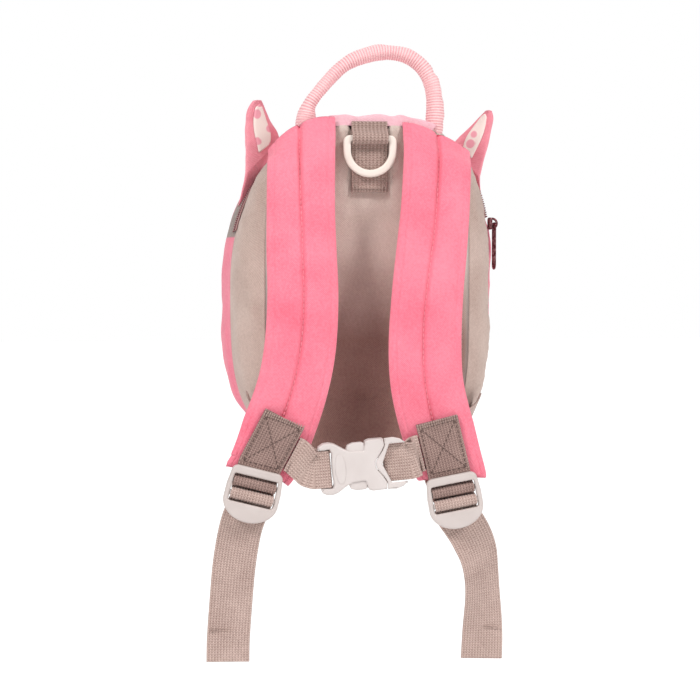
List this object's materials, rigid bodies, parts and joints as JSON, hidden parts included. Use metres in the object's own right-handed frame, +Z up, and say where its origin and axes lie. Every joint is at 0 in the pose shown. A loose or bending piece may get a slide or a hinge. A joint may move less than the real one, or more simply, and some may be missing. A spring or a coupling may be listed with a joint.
{
  "type": "toddler harness backpack",
  "caption": "Small animal-eared backpack for a toddler, with a padded harness, chest buckle, grab handle and a ring for a safety rein.",
  "frame": {"origin": "middle of the back panel's outer face, where the wearer's back meets the bag", "axes": "+Z up along the wearer's back, -Y out of the harness side towards the wearer, +X to the right of someone who looks at the harness side"},
  "size_m": [0.2172, 0.1977, 0.4249],
  "materials": {
    "pink_cloth": "woven pink polyester over padding, stitched",
    "pale_cloth": "pale pink woven cloth",
    "panel_cloth": "taupe woven polyester, finely cross-hatched",
    "ear_print": "cream cloth with small printed spots in pink and lilac",
    "pale_webbing": "pale pink ribbed webbing, folded round",
    "taupe_webbing": "taupe ribbed webbing",
    "pale_plastic": "warm light grey moulded plastic",
    "zip_metal": "dark maroon painted metal"
  },
  "bodies": {
    "bag": {"back_panel": "panel_cloth", "side_gusset": "panel_cloth", "crown_strip": "pale_cloth", "front_shell": "pink_cloth", "zip_tape": "panel_cloth", "zip_slider": "zip_metal", "ear_left": "pink_cloth", "ear_patch_left": "ear_print", "ear_right": "pink_cloth", "ear_patch_right": "ear_print", "grab_handle": "pale_webbing", "rein_webbing": "taupe_webbing", "shoulder_pad_left": "pink_cloth", "pad_patch_left": "taupe_webbing", "ladder_lock_left": "pale_plastic", "adjuster_strap_left": "taupe_webbing", "shoulder_pad_right": "pink_cloth", "pad_patch_right": "taupe_webbing", "ladder_lock_right": "pale_plastic", "adjuster_strap_right": "taupe_webbing", "chest_loop_left": "taupe_webbing", "chest_loop_right": "taupe_webbing", "buckle_socket": "pale_plastic", "buckle_plug": "pale_plastic"},
    "rein_ring": {"rein_ring": "pale_plastic"},
    "zip_pull": {"zip_pull": "zip_metal"}
  },
  "joints": [
    {"name": "rein_ring_hinge", "type": "hinge", "parent": "bag", "child": "rein_ring", "pos_m": [0, -0.0061, 0.10313], "axis": [-1, 0, 0], "range_deg": [0, 150]},
    {"name": "zip_pull_hinge", "type": "hinge", "parent": "bag", "child": "zip_pull", "pos_m": [0.09921, 0.0518, 0.04595], "axis": [0, -1, 0], "range_deg": [0, 160]}
  ]
}
